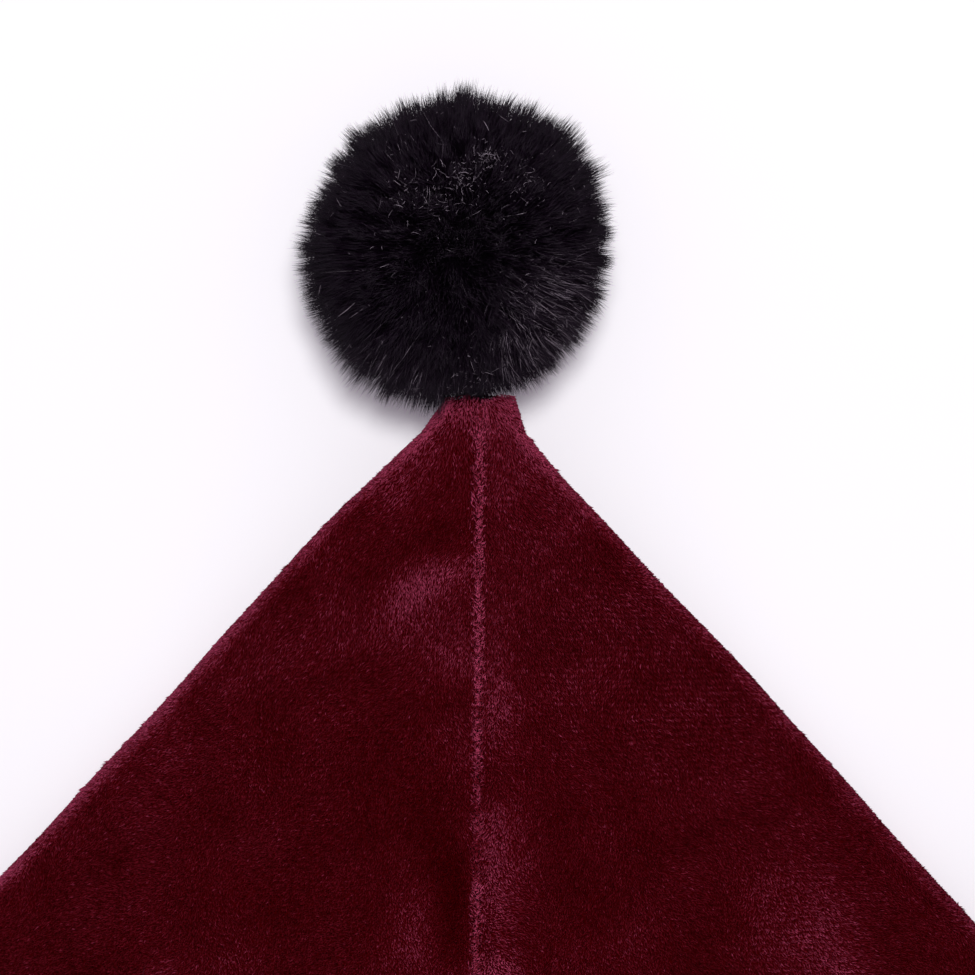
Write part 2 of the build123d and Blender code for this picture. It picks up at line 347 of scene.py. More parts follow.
def tip_edge(across, distance):
    """How far the tip's cloth is pulled up, or down where the cord leaves it."""
    across = across / MM
    rise = 0.9 * np.exp(-(((across + 3.2) / 3.0) ** 2)) + 1.1 * np.exp(-(((across - 6.3) / 1.8) ** 2))
    fall = 0.7 * np.exp(-(((across - 1.3) / 1.8) ** 2))
    corners = 2.0 * np.clip((-across - 4.6) / 4.4, 0, 1) + 1.9 * np.clip((across - 7.4) / 2.4, 0, 1)
    return MM * (rise - fall - corners) * np.exp(-distance / (3.5 * MM))


def crown_point(distance, share, side):
    """The crown's face at this distance from the tip. share runs from the front seam, 0, over the side fold
    to the back seam, 1, on the right for side 1 and on the left for side -1."""
    hat = crown_settings()
    distance, share, side = np.broadcast_arrays(distance, share, side)
    fold, back = fold_radius(distance), back_height(distance)
    flat = half_width(distance) - fold
    run = share * (2 * flat + math.pi * fold)
    over = np.clip(run / flat, 0, 1)
    angle = np.clip((run - flat) / fold, 0, math.pi)
    under = np.clip((run - flat - math.pi * fold) / flat, 0, 1)
    dome = 0.5 + 0.5 * np.cos(math.pi * over**3)
    valley = 0.93 + 0.07 * np.clip(over / 0.5, 0, 1) ** 1.5
    top = fold + (hump_rise(distance) - 2 * fold) * dome * valley
    crease = hat.crease_depth * np.exp(-((run / hat.crease_width) ** 2)) * np.clip(distance / (25 * MM), 0.25, 1)
    on_fold = (run >= flat)[..., None]
    on_back = (run > flat + math.pi * fold)[..., None]
    soft = 0.55 * MM * waves(run * side, distance, 34 * MM, 5) * np.sin(math.pi * np.clip(over, 0, 1)) ** 2
    left = lean(distance)
    x = over * (side * flat - left)
    y = TIP_Y - distance + tip_edge(x + left, distance)
    on_top_point = np.stack([x, y, back + fold + top - crease + soft], -1)
    fold_point = np.stack([side * (flat + fold * np.sin(angle)) - left, y, back + fold + fold * np.cos(angle)], -1)
    back_point = np.stack([(side * flat - left) * (1 - under), y, back], -1)
    return np.where(on_back, back_point, np.where(on_fold, fold_point, on_top_point))


def crown_normal(distance, share, side):
    """Which way is outwards at a place on the crown's face."""
    step = 0.4 * MM
    run = step / (2 * half_width(distance))
    down = crown_point(distance + step, share, side) - crown_point(distance - step, share, side)
    inner, outer = np.clip(share - run, 0, 1), np.clip(share + run, 0, 1)
    round_it = crown_point(distance, outer, side) - crown_point(distance, inner, side)
    return unit(np.cross(down, round_it) * np.broadcast_to(side, down.shape[:-1])[..., None])


def distance_from_tip(points):
    return TIP_Y - points[..., 1]


def crown_shell(first, last, side, insets, turn_in=True, rows=108, columns=115):
    """Two grids of points on one panel, at these insets from the crown's face, with the cloth turned in
    along both seams and drawn in at its end."""
    outer, inner = insets
    share = np.linspace(0.006, 0.994, columns)[None, :]
    distance = np.linspace(first, last, rows)[:, None]
    # Beside a seam the face rolls over into the turning: how far along the cloth, and how deep, each point is.
    edge_run = np.array([5.0, 3.0, 1.5, 0.6, 0.06, 0.04]) * MM
    face_drop = np.array([1.0, 1.0, 0.97, 0.9, 0.6, 0.15])
    back_run = np.array([5.0, 3.0, 1.9, 1.5, 1.3, 1.2]) * MM
    grids = []
    for inset, run, drop in ((outer, edge_run, face_drop), (inner, back_run, np.zeros(6))):
        flat = half_width(distance) - fold_radius(distance)
        around = 2 * flat + math.pi * fold_radius(distance)
        start = np.minimum(run[None, :] / around, 0.12)
        deep = inset + drop[None, :] * (2.05 * (inner - outer) if turn_in else 0)
        places = np.concatenate([start, np.broadcast_to(share, (rows, columns)), 1 - start[:, ::-1]], 1)
        depth = np.concatenate([deep, np.full((1, columns), inset), deep[:, ::-1]], 1)[..., None]
        body = crown_point(distance, places, side) - depth * crown_normal(distance, places, side)
        middle = np.array([0, TIP_Y - first, back_height(np.array(first)) + hump_rise(np.array(first)) / 2])
        # The gathered end, from its middle outwards: share of the first row's reach, and millimetres sunk.
        gathered = ((0.25, 1.2), (0.5, 0.35), (0.72, 0.0), (0.86, 0.1), (0.95, 0.5))
        end = [middle + shrink * (body[0] - middle) + [0, -down * MM, 0] for shrink, down in gathered]
        body[0] += [0, -0.9 * MM, 0]
        grids.append(np.concatenate([np.array(end), body]))
    return grids


# ---------------------------------------------------------------- materials


def fill(node, values):
    """Sets the values of a node's inputs."""
    for name, value in values.items():
        node.inputs[name].default_value = value


def add_node(tree, kind, values=None, **settings):
    """A new shader node with these settings, and with these values in its inputs."""
    node = tree.nodes.new(f"ShaderNode{kind}")
    for name, value in settings.items():
        setattr(node, name, value)
    fill(node, values or {})
    return node


def wire(tree, links):
    """Joins nodes, with each link given as (node, its output, node, its input)."""
    for source, output, target, entry in links:
        tree.links.new(source.outputs[output], target.inputs[entry])


def new_material(name, values):
    """A material, its nodes and its shader, with these values in the shader's inputs."""
    material = bpy.data.materials.new(name)
    material.use_nodes = True
    shader = material.node_tree.nodes["Principled BSDF"]
    fill(shader, values)
    return material, material.node_tree, shader


def node_group(name, inputs, outputs):
    """An empty node group with these sockets, as (group, group input, group output)."""
    group = bpy.data.node_groups.new(name, "ShaderNodeTree")
    for label, kind, default in inputs:
        socket = group.interface.new_socket(name=label, in_out="INPUT", socket_type=f"NodeSocket{kind}")
        socket.default_value = default
    for label, kind in outputs:
        group.interface.new_socket(name=label, in_out="OUTPUT", socket_type=f"NodeSocket{kind}")
    return group, group.nodes.new("NodeGroupInput"), group.nodes.new("NodeGroupOutput")


def strand_colour_group():
    """Colour of a strand by its shade and by how far along it a point is, both read from the strands' map; towards the
    root it is darkened, painted shade deep in the pile or fur.
    """
    if group := bpy.data.node_groups.get("strand_colour"):
        return group
    inputs = [
        ("Dark", "Color", (0, 0, 0, 1)),
        ("Middle", "Color", (0.5, 0.5, 0.5, 1)),
        ("Light", "Color", (1, 1, 1, 1)),
        ("Root", "Float", 0.4),
    ]
    group, given, put_out = node_group("strand_colour", inputs, [("Color", "Color")])
    place = add_node(group, "UVMap", uv_map=BAKE_MAP)
    parts = add_node(group, "SeparateXYZ")
    tint = (given, "Dark")
    for low, high, next_tint in ((0, 0.5, "Middle"), (0.5, 1, "Light")):
        part = add_node(group, "MapRange", {"From Min": low, "From Max": high})
        blend = add_node(group, "Mix", data_type="RGBA")
        wire(group, [(parts, "X", part, "Value"), (part, "Result", blend, "Factor")])
        wire(group, [(*tint, blend, "A"), (given, next_tint, blend, "B")])
        tint = (blend, "Result")
    # Painted shade: the colour is darkened towards the root, by the Root share.
    lift = add_node(group, "MapRange")
    painted_root_shade = add_node(group, "Mix", {"Factor": 1}, data_type="RGBA", blend_type="MULTIPLY")
    links = [
        (place, "UV", parts, 0),
        (parts, "Y", lift, "Value"),
        (given, "Root", lift, "To Min"),
        (*tint, painted_root_shade, "A"),
        (lift, "Result", painted_root_shade, "B"),
        (painted_root_shade, "Result", put_out, "Color"),
    ]
    wire(group, links)
    return group


def cloth_group():
    """Uneven dye and a fine woven relief, for every flat cloth and thread."""
    if group := bpy.data.node_groups.get("cloth_grain"):
        return group
    inputs = [
        ("Color", "Color", (0.5, 0.5, 0.5, 1)),
        ("Scale", "Float", 400.0),
        ("Variation", "Float", 0.3),
        ("Smoothest", "Float", 0.5),
    ]
    outputs = [("Color", "Color"), ("Height", "Float"), ("Roughness", "Float")]
    group, given, put_out = node_group("cloth_grain", inputs, outputs)
    place = add_node(group, "TexCoord")
    broad = add_node(group, "TexNoise", {"Scale": 60})
    fine = add_node(group, "TexNoise", {"Detail": 4})
    weave = add_node(group, "TexWave", {"Distortion": 1.5})
    spread = add_node(group, "Math", {1: 0.8}, operation="MULTIPLY_ADD")
    darker = add_node(group, "Mix", data_type="RGBA", blend_type="MULTIPLY")
    relief = add_node(group, "Math", operation="ADD")
    dullest = add_node(group, "Math", {1: 0.3}, operation="ADD")
    gloss = add_node(group, "MapRange")
    links = [
        (place, "Object", broad, "Vector"),
        (place, "Object", fine, "Vector"),
        (place, "Object", weave, "Vector"),
        (given, "Scale", fine, "Scale"),
        (given, "Scale", weave, "Scale"),
        (given, "Variation", darker, "Factor"),
        (given, "Color", darker, "A"),
        (broad, "Fac", spread, 0),
        (fine, "Fac", spread, 2),
        (spread, 0, darker, "B"),
        (darker, "Result", put_out, "Color"),
        (weave, "Fac", relief, 0),
        (fine, "Fac", relief, 1),
        (relief, 0, put_out, "Height"),
        (fine, "Fac", gloss, "Value"),
        (given, "Smoothest", gloss, "To Min"),
        (given, "Smoothest", dullest, 0),
        (dullest, 0, gloss, "To Max"),
        (gloss, "Result", put_out, "Roughness"),
    ]
    wire(group, links)
    return group


def strand_material(name, tints, root, roughness, specular):
    """A material for strands in the dark, middle and light colours of these settings."""
    material, tree, shader = new_material(name, {"Roughness": roughness, "Specular IOR Level": specular})
    paint = add_node(tree, "Group", {"Root": root}, node_tree=strand_colour_group())
    fill(paint, {"Dark": (*tints.dark, 1), "Middle": (*tints.middle, 1), "Light": (*tints.light, 1)})
    wire(tree, [(paint, "Color", shader, "Base Color")])
    return material


def cloth_material(name, tint, scale, variation=0.35, relief=0.00008, sheen=0.0, specular=0.3, smoothest=0.5):
    """A material for a flat cloth or thread, whose relief is in metres."""
    if material := bpy.data.materials.get(name):
        return material
    material, tree, shader = new_material(name, {"Sheen Weight": sheen, "Specular IOR Level": specular})
    grain = add_node(tree, "Group", {"Color": (*tint, 1), "Scale": scale}, node_tree=cloth_group())
    fill(grain, {"Variation": variation, "Smoothest": smoothest})
    bump = add_node(tree, "Bump", {"Distance": relief})
    links = [
        (grain, "Color", shader, "Base Color"),
        (grain, "Roughness", shader, "Roughness"),
        (grain, "Height", bump, "Height"),
        (bump, "Normal", shader, "Normal"),
    ]
    wire(tree, links)
    return material


# The cloths and threads that more than one piece is made of.


def plush_backing():
    return cloth_material("plush_backing", tuple(crown_settings().dark), 700, 0.5, specular=0.0)


def fur_backing():
    return cloth_material("fur_backing", tuple(bpy.context.scene.hat_fur.dark), 500, 0.5, specular=0.1)


def crown_thread():
    return cloth_material("crown_thread", tuple(bpy.context.scene.hat_inside.thread), 1500, 0.4)


def black_thread():
    return cloth_material("black_thread", tuple(bpy.context.scene.hat_inside.black_thread), 1500, 0.4)


# ---------------------------------------------------------------- plush crown

# Painted sheen and shade of the pile in patches, where it has been brushed and its nap lies another way: (right of
# the middle, from the tip, reach across, reach down) in millimetres, then how much lighter (+) or darker (-) it is
# painted there.
PAINTED_SHEEN_AND_SHADE = (
    (0, 2, 14, 9, 0.40),
    (-14, 14, 6, 7, 0.26),
    (14, 15, 6, 8, 0.24),
    (-22, 24, 7, 7, 0.20),
    (20, 25, 7, 8, 0.16),
    (6, 24, 7, 12, 0.10),
    (7, 44, 5, 12, 0.08),
    (-10, 37, 5, 7, -0.12),
    (-30, 34, 8, 6, 0.02),
    (-8, 44, 8, 5, 0.26),
    (-15, 49, 7, 5, 0.30),
    (-21, 54, 6, 5, 0.18),
    (-10, 60, 9, 9, 0.18),
    (-27, 59, 8, 7, 0.14),
    (-60, 66, 20, 8, 0.12),
    (-7, 68, 5, 7, 0.20),
    (-20, 80, 12, 8, -0.02),
    (20, 60, 22, 22, 0.05),
    (45, 60, 12, 14, 0.05),
    (5, 80, 6, 11, 0.26),
    (-4, 92, 5, 10, 0.12),
    (18, 75, 10, 8, 0.04),
    (50, 80, 22, 10, 0.04),
    (75, 98, 10, 12, 0.02),
    (-22, 104, 18, 10, -0.10),
    (-12, 114, 8, 10, -0.10),
    (12, 118, 8, 12, 0.14),
    (24, 118, 8, 10, -0.08),
    (-40, 124, 14, 8, -0.05),
    (-58, 145, 9, 7, 0.12),
    (4, 112, 6, 12, 0.20),
    # A painted shadow in the crease left of the seam.
    (-6, 127, 4, 9, -0.30),
    (4, 128, 6, 10, 0.25),
    (5, 148, 7, 9, 0.48),
    (-18, 138, 8, 12, 0.22),
    (-8, 150, 8, 6, 0.16),
    (-78, 147, 20, 6, 0.10),
    (82, 122, 14, 10, 0.10),
    (86, 138, 13, 12, 0.22),
    (92, 148, 10, 8, 0.14),
    (26, 147, 7, 8, 0.08),
    (37, 145, 8, 8, 0.14),
    (55, 148, 8, 7, -0.10),
    (44, 130, 6, 8, 0.08),
    (-49, 138, 17, 16, -0.05),
    (-7, 139, 4, 7, -0.16),
    (-98, 148, 12, 7, -0.11),
    (32, 131, 10, 12, -0.05),
    (64, 154, 9, 5, -0.17),
    (50, 116, 7, 6, -0.06),
    (39, 73, 7, 6, -0.06),
    (-5, 18, 4, 6, 0.10),
    (17, 40, 6, 6, 0.09),
    (39, 51, 5, 6, 0.08),
    (-38, 55, 6, 9, 0.09),
    (5, 57, 5, 8, 0.06),
    (-79, 88, 8, 9, 0.16),
    (-92, 103, 8, 7, 0.12),
    (61, 97, 8, 10, 0.08),
    (72, 127, 6, 7, 0.08),
    (84, 139, 6, 7, 0.10),
)
# Where the weave's courses show through the pile, in the same measures.
RIBBED = ((48, 78, 34, 20, 0.11), (84, 136, 22, 20, 0.08), (30, 52, 18, 14, 0.07), (-40, 96, 40, 30, 0.05))
COURSE = 1.42 * MM  # from one course of the weave to the next
SIDE_SLOPE = math.radians(43)  # between each side of the crown and its middle


def patches(places, x, distance):
    """The sum of soft patches of (right, from the tip, reach across, reach down, strength)."""
    total = 0
    for across, down, reach_across, reach_down, strength in places:
        off = ((x / MM - across) / reach_across) ** 2 + ((distance / MM - down) / reach_down) ** 2
        total = total + strength * np.exp(-off)
    return total


def painted_sheen_and_shade(x, distance, front):
    """Painted sheen and shade of the pile at a place on the crown's front or back: how much lighter it is painted."""
    total = 0.04 * waves(x, distance, 15 * MM, 21) + 0.03 * waves(x, distance, 5 * MM, 22)
    if front:
        return total + patches(PAINTED_SHEEN_AND_SHADE, x, distance)
    return total + 0.12 * waves(x, distance, 40 * MM, 23)


def pile_roots(draw, spacing, front):
    """Jittered places of the pile on one side of the crown, front or back, as (distance, share)."""
    found = []
    for distance in np.arange(0.4 * MM, CUFF_START + 3 * MM, spacing):
        half = float(half_width(distance))
        fold = float(fold_radius(distance))
        around = 2 * (half - fold) + math.pi * fold
        reach = (half - fold + 0.5 * math.pi * fold) / around
        first, end = (0.0, reach) if front else (reach, 1.0)
        count = max(int((end - first) * around / spacing), 2)
        share = first + (end - first) * (np.arange(count) + draw.uniform(0, 1, count)) / count
        found.append(np.stack([distance + draw.normal(0, 0.3 * spacing, count), share], -1))
    found = np.concatenate(found)
    return np.clip(found[:, 0], 0.3 * MM, None), found[:, 1]


def plush_pile(side, front):
    """The pile of half a crown: short tufts that lie down towards the opening."""
    hat = crown_settings()
    draw = np.random.default_rng(hat.seed + (2 if front else 0) + (side > 0))
    distance, share = pile_roots(draw, hat.pile_spacing if front else 0.8 * MM, front)
    count = len(distance)
    normal = crown_normal(distance, share, side)
    root = crown_point(distance, share, side) - 1.0 * MM * normal
    shade = painted_sheen_and_shade(root[:, 0], distance, front)
    down = unit(np.array([0, -1.0, 0]) - normal * -normal[:, 1:2])
    level = unit(np.cross(normal, down))
    # The tufts lie down towards the opening, and outwards with the sides, in a slow swirl.
    outward = SIDE_SLOPE * np.clip(0.3 + 1.4 * share, 0, 1)
    swirl = outward + 0.4 * waves(root[:, 0], distance, 30 * MM, 31) + draw.normal(0, 0.3, count)
    lay = down * np.cos(swirl)[:, None] + level * (side * np.sin(swirl))[:, None]
    # Near the side folds, edge rises to 1: there they lie flatter, and a few stand out in small bumps.
    edge = np.clip((np.abs(root[:, 0] + lean(distance)) - half_width(distance)) / (7 * MM) + 1, 0, 1)
    tilt = np.radians(np.clip(50 - 20 * shade + 24 * edge + draw.normal(0, 9, count), 10, 80))[:, None]
    grow = normal * np.cos(tilt) + lay * np.sin(tilt)
    bumps = 1 + 1.1 * edge * np.clip(waves(root[:, 0], distance, 2.6 * MM, 61) - 0.8, 0, 1)
    taller = draw.uniform(0.75, 1.2, count) * (1 - 0.25 * edge) * bumps * (1 if front else 1.25)
    tip = root + grow * hat.pile_length * taller[:, None] + lay * 0.1 * MM
    spine = np.stack([root, tip], 1)
    spine[..., 2] = np.maximum(spine[..., 2], FLOOR_GAP)
    radius = (0.23 if front else 0.40) * MM * draw.uniform(0.8, 1.25, count)[:, None]
    # Each tuft's shade comes from its patch of painted sheen or shade, a strip of painted sheen at the side folds,
    # painted sheen along the seam, and the weave's courses.
    seam = np.exp(-((root[:, 0] / (1.7 * MM)) ** 2)) * front
    wander = 0.25 * waves(root[:, 0], distance, 12 * MM, 51)
    courses = np.sin(2 * math.pi * (distance / COURSE + wander))
    ribs = (0.03 + patches(RIBBED, root[:, 0], distance)) * courses
    painted_edge_sheen = edge * np.where(root[:, 0] < 0, 0.46 + 0.14 * np.clip(distance / (60 * MM), 0, 1), 0.40)
    tone = 0.261 + 1.1 * shade + painted_edge_sheen + 0.08 * seam + ribs
    uneven = draw.normal(0, 1, count) * (0.118 + 0.02 * np.clip(tone, 0, 0.8))
    # About one tuft in seven gets a painted highlight on top of the random spread.
    return spine, radius, tone + (uneven + 0.2 * tone * (draw.random(count) < 0.15))


# Painted sheen of the tufts along the front seam: how light they are painted, as (millimetres from the tip, shade).
SEAM_PAINTED_SHEEN = ((0, 0.56), (12, 0.76), (85, 0.72), (95, 0.54), (118, 0.54), (125, 0.62), (155, 0.74))


def seam_tufts():
    """Longer tufts on both sides of the front seam, which lean over it and down towards the opening."""
    hat = crown_settings()
    draw = np.random.default_rng(hat.seed + 40)
    distance = np.arange(1.5 * MM, CUFF_START, 0.095 * MM)
    count = len(distance)
    side = np.where(np.arange(count) % 2 == 0, 1.0, -1.0)
    aside = 2.2 * MM * (1 - np.sqrt(draw.uniform(0.04, 1, count)))
    share = aside / half_width(distance) / 2
    normal = crown_normal(distance, share, side)
    root = crown_point(distance, share, side) - 0.6 * MM * normal
    lay = np.stack([-side * draw.normal(0.45, 0.5, count), draw.normal(-0.7, 0.35, count), 0 * side], -1)
    grow = unit(0.6 * normal + lay)
    height = draw.uniform(1.1, 1.8, count)[:, None] * MM
    tip = root + grow * height
    spine = np.stack([root, (root + tip) / 2 + 0.15 * MM * normal, tip], 1)
    radius = np.array([[0.17, 0.16]]) * MM * draw.uniform(0.8, 1.3, count)[:, None]
    # Halfway down, where the stitches pull the tufts into short dashes, painted sheen makes them lighter and darker in
    # turn.
    along = np.interp(distance / MM, *zip(*SEAM_PAINTED_SHEEN))
    painted_dashes = 0.22 * np.exp(-(((distance - 79 * MM) / (14 * MM)) ** 2)) * np.sin(2 * math.pi * distance / (2.3 * MM))
    return spine, radius, along + painted_dashes + 0.10 * waves(distance, 0 * distance, 9 * MM, 8) + draw.normal(0, 0.15, count)


class MakeCrown(bpy.types.Operator):
    """Makes the two plush panels and their pile"""

    bl_idname = "hat.make_crown"
    bl_label = "Plush crown"

    def execute(self, context):
        hat = crown_settings()
        pile = strand_material("plush_pile", hat, root=0.58, roughness=0.9, specular=0.0)
        for side, word in ((-1, "left"), (1, "right")):
            face, inner = crown_shell(0.8 * MM, CROWN_END, side, (0.9 * MM, 0.9 * MM + hat.cloth))
            # The cloth's inner side stays clear of the tip's own edge.
            inner[:, :, 1] -= 1.6 * MM * np.clip((distance_from_tip(inner) - 3 * MM) / (-3 * MM), 0, 1)
            panel = cloth_object(f"{word}_plush_panel", face, inner, plush_backing(), flip=side > 0)
            dress(panel, "hat", f"{word}_crown_panel")
            piles = []
            for front, place in ((True, "front"), (False, "back")):
                piles += strands(f"{word}_{place}_pile", *plush_pile(side, front), pile, "hat", "velvet")
        strands("front_seam_pile", *seam_tufts(), pile, "hat", "velvet")
        return {"FINISHED"}


# ---------------------------------------------------------------- lining, threads and label

STITCH_SHARE = 0.75  # of a stitch's length is thread, the rest is the gap to the next


def stitches(name, path, thread, slot, stands_for):
    """A row of stitches on the hat along a path of points, each a rounded bead of thread."""
    inside = bpy.context.scene.hat_inside
    reach = np.concatenate([[0], np.cumsum(np.linalg.norm(np.diff(path, axis=0), axis=1))])
    count = max(int(reach[-1] / inside.stitch_length), 1)
    starts = np.arange(count) * reach[-1] / count
    parts = np.array([0.0, 0.12, 0.5, 0.88, 1.0]) * STITCH_SHARE
    places = starts[:, None] + parts[None] * reach[-1] / count
    spine = np.stack([np.interp(places, reach, path[:, axis]) for axis in range(3)], -1)
    thick = np.broadcast_to(np.array([0.45, 1.0, 1.0, 0.9]) * inside.thread_radius, (count, 4))
    pieces = strands(name, spine, thick, np.full(count, 0.5), thread, "hat", slot)
    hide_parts(stands_for)


def seam_line(share, first, last, inset):
    """A path down the crown's front seam, with share 0, or its back seam, 1."""
    distance = np.linspace(first, last, 160)
    return crown_point(distance, share, 1) - inset * crown_normal(distance, np.clip(share, 0.004, 0.996), 1)


def ring_line(distance, inset):
    """A closed path round the crown at this distance from the tip."""
    share = np.concatenate([np.linspace(0, 1, 120), np.linspace(1, 0, 120)[1:]])
    side = np.concatenate([np.ones(120), -np.ones(119)])
    return crown_point(distance, share, side) - inset * crown_normal(np.full(239, distance), share, side)


class MakeLining(bpy.types.Operator):
    """Makes the satin lining"""

    bl_idname = "hat.make_lining"
    bl_label = "Satin lining"

    def execute(self, context):
        inside, hat = context.scene.hat_inside, crown_settings()
        gloss = {"sheen": 0.1, "specular": 0.9, "smoothest": 0.22}
        satin = cloth_material("satin_lining", tuple(inside.satin), 900, 0.3, 0.00002, **gloss)
        first, last = inside.lining_distance, CROWN_END - 1 * MM
        start = float(half_width(np.array(first)))
        insets = (inside.lining_inset, inside.lining_inset + inside.lining_cloth)
        for side, word in ((-1, "left"), (1, "right")):
            face, inner = crown_shell(first, last, side, insets, turn_in=False)
            fall = self.wrinkles(face) * unit(inner - face)
            panel = cloth_object(f"{word}_satin_panel", face + fall, inner + fall, satin, flip=side > 0)
            dress(panel, "hat", f"{word}_lining_panel")
        return {"FINISHED"}

    @staticmethod
    def wrinkles(points):
        """How far the loose satin stands off the plush: long soft folds that run from the mouth to the tip."""
        x, distance = points[..., 0], distance_from_tip(points)
        long_folds = waves(x, 0.22 * distance, 13 * MM, 61) + 0.5 * waves(x, 0.5 * distance, 6 * MM, 62)
        held = np.clip((CROWN_END - 16 * MM - distance) / (30 * MM), 0, 1) * np.clip(distance / (60 * MM) - 0.6, 0, 1)
        beside = np.maximum(np.abs(x - (label_low[0] + label_high[0]) / 2) / (label_high[0] - label_low[0]) - 0.75, 0)
        below = np.maximum(label_low[1] - 8 * MM - points[..., 1], points[..., 1] - label_high[1] - 8 * MM) / (12 * MM)
        clear = np.clip(np.maximum(beside * 2, below), 0, 1)
        near_seam = np.clip(np.abs(x) / (6 * MM), 0, 1)
        return (1.5 * MM * np.clip(0.45 + 0.45 * long_folds, 0, 1.2) * held * clear * near_seam)[..., None]


class MakeThreads(bpy.types.Operator):
    """Makes the rows of stitches in the crown's seams, the lining and the cuff"""

    bl_idname = "hat.make_threads"
    bl_label = "Sewing threads"

    def execute(self, context):
        inside = context.scene.hat_inside
        red, black = crown_thread(), black_thread()
        lining_face = inside.lining_inset + inside.lining_cloth
        hem = TIP_Y - (hem_low[1] + hem_high[1]) / 2
        crown_run = (crown_settings().shoulder_distance, CROWN_END, 1.3 * MM)
        lining_run = (inside.lining_distance + 1 * MM, CROWN_END - 1 * MM, lining_face)
        cuff_run = (CUFF_START + 6 * MM, CROWN_END, -2.6 * MM)
        cuff_top, cuff_hem = (CUFF_START - 0.6 * MM, -0.3 * MM), (hem, lining_face + 0.3 * MM)
        rows = (
            ("front_seam_stitches", seam_line(0, *crown_run), red, "seam_thread", "front_seam_thread"),
            ("back_seam_stitches", seam_line(1, *crown_run), red, "seam_thread", "back_seam_thread"),
            ("tip_gather_stitches", ring_line(2.6 * MM, 2.6 * MM), red, "seam_thread", "tip_gather_thread"),
            ("lining_front_stitches", seam_line(0, *lining_run), black, "seam_thread", "lining_front_seam_thread"),
            ("lining_back_stitches", seam_line(1, *lining_run), black, "seam_thread", "lining_back_seam_thread"),
            ("cuff_top_stitches", ring_line(*cuff_top), black, "fur_thread", "cuff_top_stitching"),
            ("cuff_hem_stitches", ring_line(*cuff_hem), black, "fur_thread", "cuff_hem_stitching"),
            ("cuff_back_stitches", seam_line(1, *cuff_run), black, "fur_thread", "cuff_back_seam_thread"),
        )
        for row in rows:
            stitches(*row)
        return {"FINISHED"}


class MakeLabel(bpy.types.Operator):
    """Makes the blank woven label inside the mouth"""

    bl_idname = "hat.make_label"
    bl_label = "Blank label"

    def execute(self, context):
        white = tuple(context.scene.hat_inside.label)
        ribbon = cloth_material("label_ribbon", white, 2200, 0.15, 0.00004, specular=0.5)
        thick = 0.3 * MM
        across = np.linspace(label_low[0], label_high[0], 23)[None, :]
        along = np.linspace(label_high[1], label_low[1], 37)[:, None]
        free = (along - label_low[1]) / (label_high[1] - label_low[1])
        curl = 0.9 * MM * free**2 * (1 + 0.5 * np.sin((across - label_low[0]) / (7 * MM)))
        x, y, lift = np.broadcast_arrays(across, along, curl)
        under = np.stack([x, y, label_low[2] + lift], -1)
        label = cloth_object("blank_label", under + [0, 0, thick], under, ribbon, flip=True)
        dress(label, "label", "care_label")
        return {"FINISHED"}


# ---------------------------------------------------------------- fur


def fur_material():
    fur = bpy.context.scene.hat_fur
    made = bpy.data.materials.get("faux_fur")
    return made or strand_material("faux_fur", fur, root=0.5, roughness=0.42, specular=0.11)


def clumps(place, share, seed):
    """For each hair, its clump's number and the clump's middle."""
    draw = np.random.default_rng(seed)
    centres = place[draw.choice(len(place), max(int(len(place) * share), 8), replace=False)]
    nearest = np.empty(len(place), int)
    for part in np.array_split(np.arange(len(place)), max(len(place) // 1500, 1)):
        gap = (centres**2).sum(-1)[None] - 2 * place[part] @ centres.T
        nearest[part] = gap.argmin(1)
    return nearest, centres


# Where the pompom has painted glints: (right, along, up) of the middle of each patch, its reach, its share of hairs
# given a painted glint, and its share of the stray ends with a painted glint.
POMPOM_PAINTED_GLINTS = (
    (0.20, 0.55, 0.81, 0.08, 0.016, 0.22),
    (0.04, 0.43, 0.90, 0.09, 0.016, 0.18),
    (-0.06, 0.27, 0.96, 0.12, 0.014, 0.14),
    (0.44, 0.38, 0.81, 0.14, 0.012, 0.12),
    (-0.33, 0.31, 0.89, 0.12, 0.012, 0.10),
    (0.08, -0.86, 0.50, 0.12, 0.05, 0.07),
    (0.56, -0.45, 0.69, 0.24, 0.03, 0.12),
    (-0.3, -0.85, 0.40, 0.35, 0.02, 0.05),
)

# How much further or less far than the rest the fur reaches, by direction in degrees from the right.
POMPOM_FULLNESS = (
    (0, -0.05), (30, 0.0), (50, 0.03), (64, 0.015), (85, -0.015), (106, -0.045), (125, -0.035), (150, -0.055),
    (167, -0.05), (180, -0.01), (205, -0.01), (238, 0.05), (254, 0.035), (272, 0.0), (300, -0.015),
    (330, -0.055), (350, -0.06),
)
SPREAD_TURN = math.pi * (3 - math.sqrt(5))  # from each hair to the next, to spread them evenly over a ball


